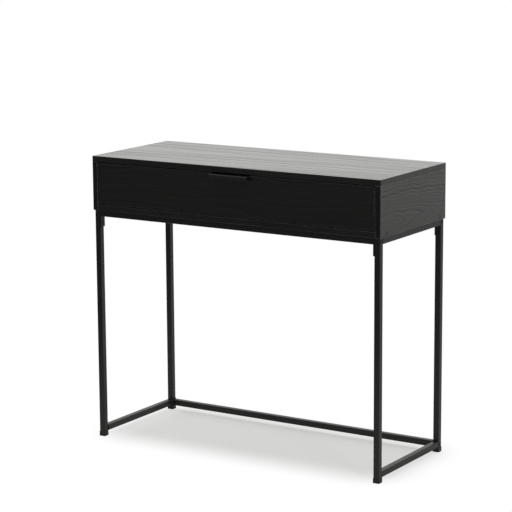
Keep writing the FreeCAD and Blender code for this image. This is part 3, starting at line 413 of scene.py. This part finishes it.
weld_paint = powder_coat("powder_welds", peel=0.030 * MM)
BEAD = 2.0 * MM
BEAD_MARGIN = 2.0 * MM
for side, inward in (("left", 1), ("right", -1)):
    welds = bmesh.new()
    for level, faces in (("top", ("under",)), ("bottom", ("over", "under"))):
        low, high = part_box("%s_rail_%s" % (level, side))
        inner_x = high.x if inward > 0 else low.x
        for y, along_rail in ((low.y, 1), (high.y, -1)):
            rows = []
            if "under" in faces:
                rows.append((low.z, (0, 0, -1)))
            if "over" in faces:
                rows.append((high.z, (0, 0, 1)))
            for z, away in rows:
                bead(welds, (low.x + BEAD_MARGIN, y, z), (high.x - BEAD_MARGIN, y, z), away,
                     (0, along_rail, 0), BEAD)
            bead(welds, (inner_x, y, low.z + BEAD_MARGIN), (inner_x, y, high.z - BEAD_MARGIN),
                 (inward, 0, 0), (0, along_rail, 0), BEAD)
    add_piece("frame_welds_" + side, welds, weld_paint, "table")

# ---------------------------------------------------------------- floor, light and camera

FLOOR_RADIUS = 1.3
FLOOR_BEHIND = 0.45
# The painted shadow around the footprint: how far behind the middle it sits, how far inside the
# footprint it starts to lighten, how far it takes to fade to white, and how much white stays in its
# middle.
SHADE_BEHIND = 0.03
SHADE_INSET = 0.09
SHADE_FADE = 0.17
SHADE_WHITE = 0.37
low, high = cad_box
middle = (low + high) / 2
ground = bmesh.new()
bmesh.ops.create_circle(ground, cap_ends=True, segments=96, radius=FLOOR_RADIUS)
ground_data = bpy.data.meshes.new("floor")
ground.to_mesh(ground_data)
ground.free()
floor = bpy.data.objects.new("floor", ground_data)
floor.location = (middle.x, middle.y + FLOOR_BEHIND, low.z - 0.1 * MM)
bpy.context.scene.collection.objects.link(floor)

# The paper turns white for the camera away from the table's footprint, and isn't seen from below.
# Near the footprint less white is mixed in, so the floor is darker there: partly its real shadow,
# partly a painted shadow the shape of the footprint.
paper = bpy.data.materials.new("paper_floor")
paper.use_nodes = True
paper.node_tree.nodes.clear()
tree = Nodes(paper.node_tree)
spot = tree.node("ShaderNodeTexCoord").outputs["Object"]
parts = tree.node("ShaderNodeSeparateXYZ", {0: spot}).outputs
shade_centre = middle + Vector((0.0, SHADE_BEHIND, 0.0))
beyond = []
for axis in range(2):
    span = (high[axis] - low[axis]) / 2 - SHADE_INSET
    off = tree.calc("ADD", parts[axis], floor.location[axis] - shade_centre[axis])
    over = tree.calc("SUBTRACT", tree.calc("ABSOLUTE", off), span)
    beyond.append(tree.calc("MAXIMUM", over, 0.0))
away = tree.calc("SQRT", tree.calc("MULTIPLY_ADD", beyond[0], beyond[0],
                                   tree.calc("MULTIPLY", beyond[1], beyond[1])))
ray = tree.node("ShaderNodeLightPath").outputs
# Painted shadow: the white share for the camera is lowest over the footprint and rises to full white
# across the fade.
fade = tree.remap(away, 0.0, SHADE_FADE, SHADE_WHITE, 1.0)
white_share_for_camera = tree.calc("MULTIPLY", fade, ray["Is Camera Ray"])
matt = tree.node("ShaderNodeBsdfDiffuse", {"Color": (0.94, 0.94, 0.915, 1.0)}).outputs[0]
white = tree.node("ShaderNodeEmission").outputs[0]
paper_top = tree.node("ShaderNodeMixShader", {0: white_share_for_camera, 1: matt, 2: white}).outputs[0]
turned = tree.node("ShaderNodeNewGeometry").outputs["Backfacing"]
unseen = tree.calc("MULTIPLY", turned, ray["Is Camera Ray"])
clear = tree.node("ShaderNodeBsdfTransparent").outputs[0]
shown = tree.node("ShaderNodeMixShader", {0: unseen, 1: paper_top, 2: clear}).outputs[0]
tree.node("ShaderNodeOutputMaterial", {"Surface": shown})
floor.data.materials.append(paper)

# The studio: a white sweep behind the table, and a darker room in front of it and above. The camera
# sees white all round.
world = bpy.data.worlds.new("studio")
bpy.context.scene.world = world
world.use_nodes = True
world.node_tree.nodes.clear()
tree = Nodes(world.node_tree)
way = tree.node("ShaderNodeTexCoord").outputs["Generated"]
sweep = Vector((-0.35, 1.0, 0.0)).normalized()
facing = tree.node("ShaderNodeVectorMath", {0: way, 1: sweep}, operation="DOT_PRODUCT")
level = tree.remap(facing.outputs["Value"], -0.20, 1.05, 0.17, 1.0)
height = tree.node("ShaderNodeSeparateXYZ", {0: way}).outputs[2]
level = tree.calc("MULTIPLY", level, tree.remap(height, -0.42, 0.10, 0.35, 1.0))
studio = tree.node("ShaderNodeBackground", {"Color": (1.0, 1.0, 0.985, 1.0), "Strength": level})
white = tree.node("ShaderNodeBackground", {"Color": (1.0, 1.0, 1.0, 1.0)}).outputs[0]
ray = tree.node("ShaderNodeLightPath").outputs
shown = tree.node("ShaderNodeMixShader",
                  {0: ray["Is Camera Ray"], 1: studio.outputs[0], 2: white}).outputs[0]
tree.node("ShaderNodeOutputWorld", {"Surface": shown})


def softbox(name, place, target, width, depth, power):
    data = bpy.data.lights.new(name, "AREA")
    data.shape = "RECTANGLE"
    data.size = width
    data.size_y = depth
    data.energy = power
    lamp = bpy.data.objects.new(name, data)
    lamp.location = place
    lamp.rotation_euler = (Vector(target) - Vector(place)).to_track_quat("-Z", "Y").to_euler()
    bpy.context.scene.collection.objects.link(lamp)


# A large weak box overhead, and a narrow strip at the front right that draws the arrises.
softbox("overhead", (-0.25, 0.40, 3.4), (0.0, 0.0, 0.0), 5.2, 4.4, 48.0)
softbox("strip", (2.55, -1.60, 0.9), (0.0, 0.0, 0.6), 0.5, 1.6, 14.0)

# The camera looks at a fixed point near the middle of the table, from the front right and above.
CAMERA_DISTANCE = 5.2069
sight = Vector((middle.x - 28.35 * MM, middle.y, 496.91 * MM))
azimuth, elevation, roll = math.radians(32.206), math.radians(10.785), math.radians(-0.376)
back = Vector((math.sin(azimuth) * math.cos(elevation), -math.cos(azimuth) * math.cos(elevation),
               math.sin(elevation)))
camera_data = bpy.data.cameras.new("camera")
camera_data.sensor_width = 36.0
camera_data.lens = 142.07
camera = bpy.data.objects.new("camera", camera_data)
camera.location = sight + back * CAMERA_DISTANCE
turn = (-back).to_track_quat("-Z", "Y").to_matrix()
right, up = turn.col[0].copy(), turn.col[1].copy()
turn.col[0] = right * math.cos(roll) + up * math.sin(roll)
turn.col[1] = up * math.cos(roll) - right * math.sin(roll)
camera.rotation_euler = turn.to_euler()
camera_data.clip_end = 60.0
bpy.context.scene.collection.objects.link(camera)
bpy.context.scene.camera = camera
bpy.context.scene.view_settings.view_transform = "Standard"
